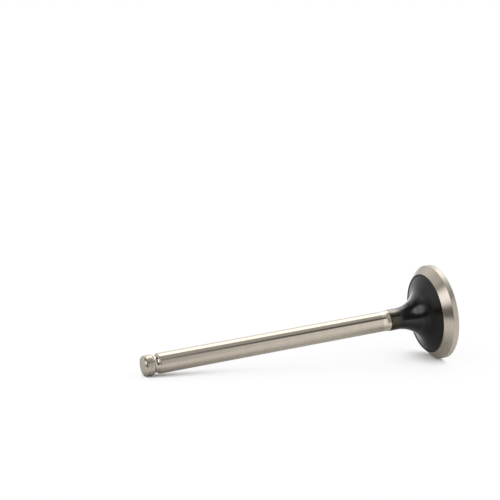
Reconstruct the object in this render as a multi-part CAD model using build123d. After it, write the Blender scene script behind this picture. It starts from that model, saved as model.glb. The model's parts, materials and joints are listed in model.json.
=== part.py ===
"""Poppet valve for a multi-valve car engine.

The real valve is one piece: a steel bar upset into a tulip head, turned, and then ground on
its stem, tip, keeper groove, seat and rim. So it is one solid here, one half section turned
about the stem's axis. The origin is the middle of the flat combustion face, and +Z runs up
the stem to the tip, so the valve stands on its head. Lengths are in millimetres.
"""

import os
from math import cos, radians, sin, tan

from build123d import *

# Head
head_diameter = 26.0          # over the cylindrical rim
face_chamfer = 0.2            # breaks the edge of the combustion face, at 45 degrees
margin_height = 1.6           # rim, from the combustion face to the seat
seat_angle = 45.0             # slope of the ground seat, in degrees from the head's plane
seat_width = 2.9              # ground seat, measured along its slope

# Neck
underhead_angle = 21.5        # slope of the head's back, in degrees from the head's plane
tulip_radius = 9.2            # hollow curve that carries the head's back into the neck
neck_diameter = 5.9           # left as forged, a little over the stem
neck_land = 2.1               # straight stretch of neck past the tulip curve
runout_length = 1.2           # taper where the stem's grinding runs out against the neck

# Stem
length = 86.5                 # combustion face to tip
stem_diameter = 5.46          # a running fit in a guide of 5.5 bore
tip_chamfer = 0.45            # at 45 degrees
tip_blend_radius = 0.8        # rounds the chamfer's outer edge into the stem

# Keeper groove, a round-bottomed ring for the split collets of the spring retainer
groove_from_tip = 3.4         # tip to the groove's middle
groove_radius = 0.9           # radius of the groove's section
groove_root_diameter = 4.5    # stem diameter left at the bottom of the groove
groove_lip_radius = 0.3       # rounds both lips of the groove


def corner_near(sketch, x, z):
    """The corner of a sketch that lies nearest to radius x and height z."""
    return sketch.vertices().sort_by_distance(Vector(x, z))[0]


def valve_section():
    """Half of the valve's section: X is the radius and Y the height above the combustion face."""
    head_radius = head_diameter / 2
    seat_inner_radius = head_radius - seat_width * cos(radians(seat_angle))
    seat_top = margin_height + seat_width * sin(radians(seat_angle))

    # The head's back is a cone that meets the neck at a corner. The tulip curve fills that
    # corner and takes up the same length of cone and of neck.
    neck_radius = neck_diameter / 2
    neck_corner = seat_top + (seat_inner_radius - neck_radius) * tan(radians(underhead_angle))
    tulip_reach = tulip_radius * tan(radians(90 - underhead_angle) / 2)
    neck_end = neck_corner + tulip_reach + neck_land

    stem_radius = stem_diameter / 2
    groove_height = length - groove_from_tip
    groove_centre = groove_root_diameter / 2 + groove_radius

    with BuildSketch() as section:
        with BuildLine():
            Polyline(
                (0, 0),
                (head_radius, 0),
                (head_radius, margin_height),
                (seat_inner_radius, seat_top),
                (neck_radius, neck_corner),
                (neck_radius, neck_end),
                (stem_radius, neck_end + runout_length),
                (stem_radius, length),
                (0, length),
                close=True,
            )
        make_face()
        fillet(corner_near(section, neck_radius, neck_corner), tulip_radius)
        chamfer(corner_near(section, head_radius, 0), face_chamfer)
        chamfer(corner_near(section, stem_radius, length), tip_chamfer)
        fillet(corner_near(section, stem_radius, length - tip_chamfer), tip_blend_radius)

        with Locations((groove_centre, groove_height)):
            Circle(groove_radius, mode=Mode.SUBTRACT)
        lips = section.vertices().filter_by(
            lambda corner: corner.X > 0 and abs(corner.Y - groove_height) < groove_radius
        )
        fillet(lips, groove_lip_radius)
    return section.sketch


def make_valve():
    """The whole valve, its half section turned once about the stem's axis."""
    section = Plane.XZ * valve_section()
    return revolve(section, axis=Axis.Z)


os.makedirs("parts", exist_ok=True)
valve = make_valve()
valve.label = "valve"
export_step(valve, "parts/valve.step")
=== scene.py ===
"""Looks of an engine valve: bright ground steel with a satin black neck, lying in soft studio light."""

import json
from math import atan2, cos, pi, radians, sin, sqrt, tan

import bpy
import numpy as np
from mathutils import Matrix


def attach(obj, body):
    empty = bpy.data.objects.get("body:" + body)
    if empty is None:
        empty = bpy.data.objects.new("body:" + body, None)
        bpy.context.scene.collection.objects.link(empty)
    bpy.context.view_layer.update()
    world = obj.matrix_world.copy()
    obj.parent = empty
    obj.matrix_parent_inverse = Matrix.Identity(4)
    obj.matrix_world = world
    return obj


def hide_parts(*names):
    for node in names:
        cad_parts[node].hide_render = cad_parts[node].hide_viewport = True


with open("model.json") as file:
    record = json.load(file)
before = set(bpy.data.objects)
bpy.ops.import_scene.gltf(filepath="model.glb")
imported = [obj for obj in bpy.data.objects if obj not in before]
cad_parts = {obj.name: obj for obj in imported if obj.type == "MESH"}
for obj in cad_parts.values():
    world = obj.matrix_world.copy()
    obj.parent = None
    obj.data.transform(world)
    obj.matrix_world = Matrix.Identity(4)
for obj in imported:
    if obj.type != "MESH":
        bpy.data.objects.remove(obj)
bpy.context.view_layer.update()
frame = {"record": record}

MM = 0.001

# ---------------------------------------------------------------------------------------------
# The valve. One piece of heat-resisting steel: a bar is upset hot into a tulip head, turned,
# and then ground bright on its stem, tip, keeper groove, seat and rim. Its neck and the back
# of its head keep a satin black skin.

mounts = {mount["name"]: mount for mount in frame["record"]["mounts"]}
length = mounts["tip_face"]["pos_m"][2]
stem_radius = mounts["stem"]["dims"]["r_mm"] * MM
groove_height = mounts["keeper_groove"]["pos_m"][2]

head_radius = 13.0 * MM
face_chamfer = 0.2 * MM
margin_height = 1.6 * MM
seat_angle = radians(45)
seat_width = 2.9 * MM
seat_land = 0.55 * MM          # a flat, dull ring inside the ground seat
underhead_angle = radians(21.5)
tulip_radius = 9.2 * MM
neck_radius = 2.95 * MM
neck_land = 2.1 * MM
runout_length = 1.2 * MM
tip_chamfer = 0.45 * MM
tip_blend_radius = 0.8 * MM
groove_radius = 0.9 * MM
groove_root_radius = 2.25 * MM
groove_lip_radius = 0.3 * MM
lip_steps = 10
root_steps = 30

edge_break = 0.06 * MM         # what tumbling leaves of a turned corner
soft_break = 1.5 * MM          # the grinding wheel's own corner, where it runs out on the neck

seat_inner_radius = head_radius - seat_width * cos(seat_angle)
seat_top = margin_height + seat_width * sin(seat_angle)
neck_corner = seat_top + (seat_inner_radius - neck_radius) * tan(underhead_angle)
neck_end = neck_corner + tulip_radius * tan((pi / 2 - underhead_angle) / 2) + neck_land
stem_start = neck_end + runout_length


def arc(centre, radius, start, end, steps):
    """Points on a circle's arc: centre plus radius times (cosine, sine) of evenly spaced angles."""
    angle = np.linspace(start, end, steps)
    return np.stack([centre[0] + radius * np.cos(angle), centre[1] + radius * np.sin(angle)], axis=1)


def rounded_corner(before, corner, after, radius, steps=8):
    """The arc that rounds a corner between two straight sides.

    The circle touches each side at radius / tan(half the angle between them) from the corner,
    and its centre lies on the bisector at radius / sin(half the angle).
    """
    before, corner, after = (np.array(point) for point in (before, corner, after))
    side_in = (before - corner) / np.linalg.norm(before - corner)
    side_out = (after - corner) / np.linalg.norm(after - corner)
    half = np.arccos(side_in @ side_out) / 2
    bisector = (side_in + side_out) / np.linalg.norm(side_in + side_out)
    centre = corner + bisector * radius / sin(half)
    touch_in = corner + side_in * radius / tan(half) - centre
    touch_out = corner + side_out * radius / tan(half) - centre
    start = atan2(touch_in[1], touch_in[0])
    turn = (atan2(touch_out[1], touch_out[0]) - start + pi) % (2 * pi) - pi
    return arc(centre, radius, start, start + turn, steps)


def keeper_groove():
    """The groove's outline from the tip side down: lip, root and lip, three arcs that touch.

    A lip circle lies inside the stem's line by its own radius, and outside the root circle, so the
    two centres are apart by the sum of the radii.
    """
    root_centre = (groove_root_radius + groove_radius, groove_height)
    lip_x = stem_radius - groove_lip_radius
    reach = sqrt((groove_radius + groove_lip_radius) ** 2 - (root_centre[0] - lip_x) ** 2)
    lean = atan2(reach, root_centre[0] - lip_x)
    upper_lip = arc((lip_x, groove_height + reach), groove_lip_radius, 0, -lean, lip_steps)
    root = arc(root_centre, groove_radius, pi - lean, pi + lean, root_steps)
    lower_lip = arc((lip_x, groove_height - reach), groove_lip_radius, lean, 0, lip_steps)
    return np.concatenate([upper_lip, root[1:], lower_lip[1:]])


def valve_outline():
    """Half of the valve's section, from the middle of the tip down to the middle of the face."""
    tip = (0, length)
    tip_edge = (stem_radius - tip_chamfer, length)
    land_edge = (stem_radius, length - tip_chamfer)
    groove_start = (stem_radius, groove_height)
    stem_end = (stem_radius, stem_start)
    neck_top = (neck_radius, neck_end)
    neck_foot = (neck_radius, neck_corner)
    land_inside = (seat_inner_radius - seat_land, seat_top)
    seat_inside = (seat_inner_radius, seat_top)
    seat_outside = (head_radius, margin_height)
    rim_edge = (head_radius, face_chamfer)
    face_edge = (head_radius - face_chamfer, 0)
    face = (0, 0)
    return np.concatenate([
        [tip],
        rounded_corner(tip, tip_edge, land_edge, edge_break * 2),
        rounded_corner(tip_edge, land_edge, groove_start, tip_blend_radius, steps=14),
        keeper_groove(),
        rounded_corner(groove_start, stem_end, neck_top, soft_break),
        rounded_corner(stem_end, neck_top, neck_foot, soft_break),
        rounded_corner(neck_top, neck_foot, land_inside, tulip_radius, steps=64),
        rounded_corner(neck_foot, land_inside, seat_inside, edge_break * 2),
        rounded_corner(land_inside, seat_inside, seat_outside, edge_break),
        rounded_corner(seat_inside, seat_outside, rim_edge, edge_break),
        rounded_corner(seat_outside, rim_edge, face_edge, edge_break),
        rounded_corner(rim_edge, face_edge, face, edge_break),
        [face],
    ])


def shored(outline, near=0.12 * MM, longest=2.0 * MM):
    """Adds points along the straight runs: one close to each end, and others evenly between.

    The close ones keep the shading of a rounded corner from spreading along the flat beside it.
    """
    pieces = [outline[:1]]
    for start, end in zip(outline[:-1], outline[1:]):
        run = np.linalg.norm(end - start)
        share = np.array([1.0])
        if run > 4 * near:
            count = int(np.ceil(run / longest)) + 1
            share = np.r_[near / run, np.linspace(0, 1, count + 1)[1:-1], 1 - near / run, 1.0]
        pieces.append(start + share[:, None] * (end - start))
    return np.concatenate(pieces)


def turned(name, outline, segments=320):
    """A closed solid of revolution about Z.

    Point i of the outline, at radius r and height z, becomes the ring x = r cos a, y = r sin a for
    a from 0 to a full turn. The outline starts and ends on the axis, and these two points close the
    ends. The map OFBake holds a as a share of a turn, and the length along the outline as a share.
    """
    angle = np.linspace(0, 2 * pi, segments, endpoint=False)
    ring = outline[1:-1]
    rings = len(ring)
    around = np.stack([np.cos(angle), np.sin(angle)], axis=1)
    grid = np.empty((rings, segments, 3))
    grid[:, :, :2] = ring[:, None, :1] * around
    grid[:, :, 2] = ring[:, 1:]
    ends = np.array([[0, 0, outline[0, 1]], [0, 0, outline[-1, 1]]])
    points = np.concatenate([grid.reshape(-1, 3), ends])

    here = np.arange(segments)
    onward = (here + 1) % segments
    first_row = np.arange(rings - 1)[:, None] * segments
    sides = np.stack([first_row + here, first_row + segments + here,
                      first_row + segments + onward, first_row + onward], axis=-1).reshape(-1, 4)
    top_end, bottom_end = rings * segments, rings * segments + 1
    last_row = (rings - 1) * segments
    top = np.stack([np.full(segments, top_end), here, onward], axis=1)
    bottom = np.stack([np.full(segments, bottom_end), last_row + onward, last_row + here], axis=1)

    mesh = bpy.data.meshes.new(name)
    mesh.from_pydata(points.tolist(), [], top.tolist() + sides.tolist() + bottom.tolist())

    along = np.r_[0, np.cumsum(np.linalg.norm(np.diff(outline, axis=0), axis=1))]
    along = 1 - along / along[-1]
    left, right = here / segments, (here + 1) / segments
    middle = (left + right) / 2
    row = np.stack([along[1:-2], along[2:-1], along[2:-1], along[1:-2]], axis=1)
    u = np.concatenate([
        np.stack([middle, left, right], axis=1).ravel(),
        np.tile(np.stack([left, left, right, right], axis=1).ravel(), rings - 1),
        np.stack([middle, right, left], axis=1).ravel(),
    ])
    v = np.concatenate([
        np.tile(along[[0, 1, 1]], segments),
        np.repeat(row, segments, axis=0).ravel(),
        np.tile(along[[-1, -2, -2]], segments),
    ])
    layer = mesh.uv_layers.new(name="OFBake")
    layer.data.foreach_set("uv", np.stack([u, v], axis=1).ravel())

    mesh.shade_smooth()
    mesh.update()
    piece = bpy.data.objects.new(name, mesh)
    bpy.context.scene.collection.objects.link(piece)
    return piece


valve = turned("valve_surface", shored(valve_outline()))


class Wire:
    """A number or a colour in a node tree. Arithmetic on it adds Math nodes."""

    def __init__(self, tree, socket=None):
        self.tree = tree
        self.socket = socket

    def node(self, kind, settings=None, inputs=None, output=0):
        """Adds a node: its settings are set first, then the value or the wire of each socket."""
        node = self.tree.nodes.new(kind)
        for setting, value in (settings or {}).items():
            setattr(node, setting, value)
        for socket, value in (inputs or {}).items():
            if isinstance(value, Wire):
                self.tree.links.new(value.socket, node.inputs[socket])
            else:
                node.inputs[socket].default_value = value
        return Wire(self.tree, node.outputs[output] if node.outputs else None)

    def maths(self, operation, *values):
        return self.node("ShaderNodeMath", {"operation": operation}, dict(enumerate(values)))

    def __add__(self, other):
        return self.maths("ADD", self, other)

    def __sub__(self, other):
        return self.maths("SUBTRACT", self, other)

    def __rsub__(self, other):
        return self.maths("SUBTRACT", other, self)

    def __mul__(self, other):
        return self.maths("MULTIPLY", self, other)

    __radd__ = __add__
    __rmul__ = __mul__

    def rise(self, start, end):
        """A smooth step: 0 before start and 1 past end. Start may be the larger of the two."""
        return self.node("ShaderNodeMapRange", {"interpolation_type": "SMOOTHSTEP"},
                         {"Value": self, "From Min": start, "From Max": end})

    def axis(self, index):
        """One of the three numbers of a vector."""
        return self.node("ShaderNodeSeparateXYZ", inputs={0: self}, output=index)

    def blend(self, first, second):
        """The first colour where this share is 0 and the second where it is 1."""
        return self.node("ShaderNodeMix", {"data_type": "RGBA"},
                         {0: self, 6: first, 7: second}, output=2)


def emptied(owner):
    """The cleared node tree of a material or a world."""
    owner.use_nodes = True
    owner.node_tree.nodes.clear()
    return Wire(owner.node_tree)


ground_steel = (0.62, 0.555, 0.47, 1)
darker_steel = (0.52, 0.46, 0.385, 1)
# a lighter band by the taper: partly the grinding's run-out, partly a painted highlight
bright_ring = (0.74, 0.67, 0.575, 1)
stained_steel = (0.16, 0.13, 0.10, 1)
black_skin = (0.005, 0.004, 0.0025, 1)
heat_tint = (0.072, 0.055, 0.028, 1)
# the lighter tint on the neck's upper side is a painted highlight, not a colour the skin has
painted_top_highlight = (0.26, 0.24, 0.21, 1)

stem_roughness = 0.13
seat_roughness = 0.27
tip_roughness = 0.28
turned_roughness = 0.36
skin_roughness = 0.2
land_dullness = 0.3            # added to the roughness on the flat ring inside the seat
skin_cover = 0.78              # how far the skin hides the bare metal
skin_gloss_roughness = 0.2     # of the thin glossy coat on the skin
steel_edge = (0.59, 0.605, 0.63, 1)   # what a grazing look tints the steel
grinding_pull = 0.6            # how far the grinding marks stretch a highlight
mark_depth = 0.02 * MM
mark_strength = 0.1

fine_edge = 0.02 * MM          # half the width of the line between the ground seat and the skin
ragged_edge = 0.12 * MM        # half the width of the line where the skin ends on the neck
ragged_stray = 0.25 * MM       # how far that line wanders
skin_foot = seat_top - 0.1 * MM
skin_end = neck_end + 0.25 * MM
tint_heights = (neck_end - 3.2 * MM, neck_end - 0.2 * MM)
tint_reach = 1.2 * MM          # the lighter tint, a painted highlight, starts this much lower than the brown one
painted_highlight_span = (1.0, 1.2)        # by (x - y) / radius, which is 1.41 in the middle of this side: the neck's upper side as the valve lies, where the highlight is painted
polished_side = (-0.5, 0.6)    # the same measure, where the skin is glossier
polished_radii = (4.2 * MM, 7.4 * MM)
ring_foot = (neck_end - 0.1 * MM, neck_end)
ring_top = (stem_start + 1.5 * MM, stem_start + 1.1 * MM)
tip_fade = 0.3 * MM
stem_fade = 0.5 * MM
corner_edge = 0.05 * MM        # half the width of the line between the rim and the seat

marks_slope = 0.85             # keeps the rings apart on the flat faces as on the stem
marks_across = 9000            # noise cells in a metre across the grinding marks
marks_along = 260              # and along them
broad_across = 0.08            # the broad bands, as a share of the marks
broad_along = 120
grain_scale = 1700
stray_scale = 900
spot_noise = (0.58, 0.66)
spot_radii = (2.3 * MM, 2.5 * MM)   # none on the flat end of the tip
spot_strength = 0.45


def valve_finish():
    """Bright ground steel, with the black skin between the seat and the end of the neck.

    The height above the face tells the zones apart. The grinding marks are rings: their pattern
    changes fast with height minus a share of the radius, which varies along every stretch of the
    outline, and slowly round the axis. The neck's upper side, as the valve lies, has more gloss and
    a lighter tint, which is a painted highlight.
    """
    material = bpy.data.materials.new("valve_steel")
    start = emptied(material)
    place = start.node("ShaderNodeTexCoord", output="Object")
    x, y, height = place.axis(0), place.axis(1), place.axis(2)
    radius = start.maths("SQRT", x * x + y * y)

    def noise(at, scale, detail):
        return start.node("ShaderNodeTexNoise", inputs={"Vector": at, "Scale": scale, "Detail": detail})

    stray = (noise(place, stray_scale, 2) - 0.5) * ragged_stray
    past_seat = (height.rise(skin_foot - fine_edge, skin_foot + fine_edge)
                 * radius.rise(seat_inner_radius + fine_edge, seat_inner_radius - fine_edge))
    black = past_seat * (height + stray).rise(skin_end + ragged_edge, skin_end - ragged_edge)
    round_axis = start.maths("DIVIDE", x - y, radius)
    # The upper side of the neck, as the valve lies, gets a lighter tint that reaches lower: a painted
    # highlight.
    painted_highlight_share = round_axis.rise(*painted_highlight_span)
    warm = (height + painted_highlight_share * tint_reach).rise(*tint_heights) * black
    outward = radius.rise(*polished_radii)
    glossy = (round_axis.rise(*polished_side) * 0.5 + 0.5) * (1 - outward) * (1 - warm * 0.7)
    past_groove = height.rise(groove_height, groove_height + tip_fade)
    on_stem = height.rise(stem_start, stem_start + stem_fade) * (1 - past_groove)
    on_seat = height.rise(margin_height - corner_edge, margin_height + corner_edge) * (1 - past_seat)

    across = (height - radius * marks_slope) * marks_across
    marks = noise(start.node("ShaderNodeCombineXYZ", inputs={
        0: x * marks_along, 1: y * marks_along, 2: across}), 1, 3)
    broad = noise(start.node("ShaderNodeCombineXYZ", inputs={
        0: x * broad_along, 1: y * broad_along, 2: across * broad_across}), 1, 2)
    grain = noise(place, grain_scale, 3)

    # A lighter band by the taper, all round: partly the grinding's run-out, partly a painted highlight.
    ring = height.rise(*ring_foot) * height.rise(*ring_top)
    spots = grain.rise(*spot_noise) * past_groove * radius.rise(*spot_radii)
    steel = ring.blend((marks * 0.5 + broad * 0.5).blend(ground_steel, darker_steel), bright_ring)
    steel = (spots * spot_strength).blend(steel, stained_steel)
    # Black skin, brown heat tint towards the neck's end, and on the upper side a lighter tint that is
    # painted highlight.
    skin = warm.blend(black_skin, painted_highlight_share.blend(heat_tint, painted_top_highlight))
    land = radius.rise(seat_inner_radius - seat_land - corner_edge, seat_inner_radius - seat_land)
    steel_rough = (marks * 0.06 + broad * 0.05 + (turned_roughness - 0.055)
                   - on_stem * (turned_roughness - stem_roughness)
                   - on_seat * (turned_roughness - seat_roughness)
                   - past_groove * (turned_roughness - tip_roughness))
    skin_rough = grain * 0.10 + marks * 0.16 + (skin_roughness - 0.13) + land * land_dullness
    relief = marks * 0.6 + grain * black * 1.2
    normal = start.node("ShaderNodeBump", inputs={
        "Strength": mark_strength, "Distance": mark_depth, "Height": relief})
    surface = start.node("ShaderNodeBsdfPrincipled", inputs={
        "Base Color": black.blend(steel, skin),
        "Metallic": 1 - black * (1 - warm) * skin_cover,
        "Roughness": steel_rough * (1 - black) + skin_rough * black,
        "IOR": 1.5,
        "Specular Tint": steel_edge,
        "Coat Weight": black * glossy * (broad.rise(0.4, 0.6) * 0.5 + 0.75),
        "Coat Roughness": skin_gloss_roughness,
        "Anisotropic": grinding_pull,
        "Anisotropic Rotation": 0.25,
        "Normal": normal,
    })
    start.node("ShaderNodeOutputMaterial", inputs={"Surface": surface})
    return material


valve.data.materials.append(valve_finish())
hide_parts("valve")
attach(valve, "root")

# ---------------------------------------------------------------------------------------------
# The table. A white sheet on which the valve lies on its rim and its tip. The valve's own frame
# stands it on its head, so the sheet, the light and the camera are all turned to meet it.

# The upper edge of the rim and the land by the tip touch the sheet, which fixes the lean.
lean = atan2(head_radius - stem_radius, length - tip_chamfer - margin_height)
sheet_turn = radians(45)       # which side of the valve lies down: it is the same all round
valve_yaw = radians(22.94)     # the tip swings this far towards the camera

stem_axis = np.array([0.0, 0.0, 1.0])
side = np.array([sin(sheet_turn), -cos(sheet_turn), 0.0])
table_up = side * cos(lean) - stem_axis * sin(lean)
table_along = stem_axis * cos(lean) + side * sin(lean)
table_across = np.cross(table_up, table_along)
touch = stem_axis * margin_height - side * head_radius
picture_across = -table_along * cos(valve_yaw) + table_across * sin(valve_yaw)
away = np.cross(table_up, picture_across)


sheet_sides = (-0.16, 0.16, -0.038, 0.16)   # left, right, front and back of the valve's middle
sheet_paper = (0.95, 0.95, 0.95, 1)
near_valve = 30 * MM           # how far the paper looks for the valve above it
shadow_core = (0.135, 0.65)    # how open the paper is, from the dark of the shadow to nearly white
shadow_rest = (0.78, 0.95)     # and on to plain white
core_share = 0.91
mirrored_open = (0.72, 0.95)
mirrored_share = 0.5


def sheet(name, left, right, front, back):
    """A rectangle in the table's plane: the valve's middle plus a way across and a way along."""
    corners = np.array([[left, front], [right, front], [right, back], [left, back]])
    middle = stem_axis * length / 2
    middle = middle - table_up * ((middle - touch) @ table_up)
    points = middle + corners @ np.stack([picture_across, away])
    mesh = bpy.data.meshes.new(name)
    mesh.from_pydata(points.tolist(), [], [(0, 1, 2, 3)])
    mesh.update()
    plane = bpy.data.objects.new(name, mesh)
    bpy.context.scene.collection.objects.link(plane)
    return plane


def sheet_finish():
    """White paper, clear from below, that keeps its shading where the valve is near.

    Farther off, it is plain white to the camera, and farther still in the metal's reflections.
    The share of plain white grows with how open the paper is above.
    """
    material = bpy.data.materials.new("white_sheet")
    start = emptied(material)
    seen = start.node("ShaderNodeLightPath", output="Is Camera Ray")
    mirrored = (start.node("ShaderNodeLightPath", output="Is Glossy Ray")
                + start.node("ShaderNodeLightPath", output="Is Transmission Ray"))
    open_above = start.node("ShaderNodeAmbientOcclusion", {"samples": 16},
                            {"Distance": near_valve}, output="AO")
    cleared = (open_above.rise(*shadow_core) * core_share
               + open_above.rise(*shadow_rest) * (1 - core_share))
    plain = seen * cleared + mirrored * open_above.rise(*mirrored_open) * mirrored_share
    lit = start.node("ShaderNodeBsdfDiffuse", inputs={"Color": sheet_paper})
    white = start.node("ShaderNodeEmission", inputs={"Color": (1, 1, 1, 1), "Strength": 1})
    paper = start.node("ShaderNodeMixShader", inputs={0: plain, 1: lit, 2: white})
    below = start.node("ShaderNodeNewGeometry", output="Backfacing")
    clear = start.node("ShaderNodeBsdfTransparent")
    surface = start.node("ShaderNodeMixShader", inputs={0: below, 1: paper, 2: clear})
    start.node("ShaderNodeOutputMaterial", inputs={"Surface": surface})
    return material


table = sheet("table_sheet", *sheet_sides)
table.data.materials.append(sheet_finish())

# ---------------------------------------------------------------------------------------------
# The camera. It looks along the table from the tip's side, a little down on the valve.

picture_width = 36             # of a square picture, in mm as the lens is
camera_lens = 136.7
camera_pitch = radians(12)
camera_roll = radians(2.7)
aim_offset = np.array([-12.96, 4.7, 22.57]) * MM   # from the valve's middle: right, away and up
camera_distance = 510.2 * MM

aim = stem_axis * length / 2 + aim_offset @ np.stack([picture_across, away, table_up])
look = away * cos(camera_pitch) - table_up * sin(camera_pitch)
level_up = np.cross(picture_across, look)
picture_right = picture_across * cos(camera_roll) + level_up * sin(camera_roll)
picture_up = level_up * cos(camera_roll) - picture_across * sin(camera_roll)

camera = bpy.data.objects.new("camera", bpy.data.cameras.new("camera"))
bpy.context.scene.collection.objects.link(camera)
camera.data.sensor_width = picture_width
camera.data.lens = camera_lens
camera.data.clip_start = 0.01
camera.data.clip_end = 10
matrix = np.eye(4)
matrix[:3] = np.stack([picture_right, picture_up, -look, aim - look * camera_distance], axis=1)
camera.matrix_world = matrix.T
bpy.context.scene.camera = camera

# ---------------------------------------------------------------------------------------------
# The light. A room with a bright wall behind the valve, a lamp over it and one to its right, pale
# walls at both sides, a window behind the camera to the left, and dark gaps between them. The gaps
# are what draws the dark lines along the steel.

roof_strength = 2.0            # of these strengths, 1 is a white wall
side_lamp_strength = 2.4
window_strength = 2.0
back_wall_strength = 1.5
back_wall_loss = 1.3           # what the back wall loses where the roof lamp covers it
left_back_strength = 0.85
left_high_strength = 0.5
left_wall_strength = 0.1
left_foot_strength = 0.34
right_wall_strength = 0.94
right_pane_strength = 0.55
right_roof_strength = 0.4
front_light_strength = 0.35
dark_strength = 0.10
lamp_white = (1, 1, 1, 1)
window_blue = (0.98, 0.985, 1.04, 1)


def room():
    """Light by direction, from turns about the upright axis and rises above the table, in degrees.

    A turn of 0 is away from the camera, 90 to its right and 180 towards it. The camera itself
    sees plain white.
    """
    world = bpy.data.worlds.new("room")
    start = emptied(world)
    way = start.node("ShaderNodeTexCoord", output="Generated")

    def share(axis):
        return start.node("ShaderNodeVectorMath", {"operation": "DOT_PRODUCT"},
                          {0: way, 1: tuple(axis)}, output="Value")

    turn = start.maths("ARCTAN2", share(picture_across), share(away)) * (180 / pi)
    rise = start.maths("ARCSINE", share(table_up)) * (180 / pi)

    def pane(left, right, bottom, top, edge):
        """1 inside a pane and 0 outside, across a soft edge."""
        inside = turn.rise(left - edge, left + edge) * turn.rise(right + edge, right - edge)
        return inside * rise.rise(bottom - edge, bottom + edge) * rise.rise(top + edge, top - edge)

    def lamp(turned, raised, spread, edge):
        """1 within a spread of degrees round one direction and 0 outside, across a soft edge."""
        level_way = away * cos(radians(turned)) + picture_across * sin(radians(turned))
        middle = level_way * cos(radians(raised)) + table_up * sin(radians(raised))
        return share(middle).rise(cos(radians(spread + edge)), cos(radians(spread - edge)))

    roof = lamp(turned=12, raised=57, spread=20.5, edge=4)
    side_lamp = lamp(turned=50, raised=47, spread=14, edge=4)
    window = lamp(turned=-141, raised=31, spread=21, edge=5)
    back_wall = turn.rise(-36, -6) * turn.rise(30, 12) * rise.rise(70, 58)
    left_back = pane(left=-98, right=-24, bottom=-90, top=38, edge=9)
    left_high = pane(left=-66, right=-24, bottom=42, top=66, edge=9)
    left_wall = pane(left=-106, right=-76, bottom=26, top=46, edge=8)
    left_foot = pane(left=-125, right=-76, bottom=-20, top=26, edge=8)
    right_wall = turn.rise(44, 56) * turn.rise(150.5, 132.5) * rise.rise(44, 32)
    right_pane = pane(left=64, right=110, bottom=38, top=60, edge=6)
    right_roof = pane(left=50, right=150, bottom=58, top=90, edge=5)
    front_light = pane(left=136, right=152, bottom=38, top=64, edge=4)

    beside_roof = 1 - roof
    beside_back = 1 - back_wall
    beside_lamp = 1 - side_lamp
    level = (dark_strength + roof * roof_strength + window * window_strength
             + side_lamp * beside_roof * side_lamp_strength
             + back_wall * (back_wall_strength - roof * back_wall_loss)
             + left_back * beside_back * left_back_strength
             + left_high * beside_back * beside_roof * left_high_strength
             + left_wall * left_wall_strength + left_foot * left_foot_strength
             + right_wall * beside_lamp * right_wall_strength
             + right_pane * beside_lamp * right_pane_strength
             + right_roof * beside_roof * right_roof_strength
             + front_light * front_light_strength)
    seen = start.node("ShaderNodeLightPath", output="Is Camera Ray")
    light = start.node("ShaderNodeBackground", inputs={
        "Color": (window * (1 - seen)).blend(lamp_white, window_blue),
        "Strength": level * (1 - seen) + seen})
    start.node("ShaderNodeOutputWorld", inputs={"Surface": light})
    return world


bpy.context.scene.world = room()
bpy.context.scene.view_settings.view_transform = "Standard"
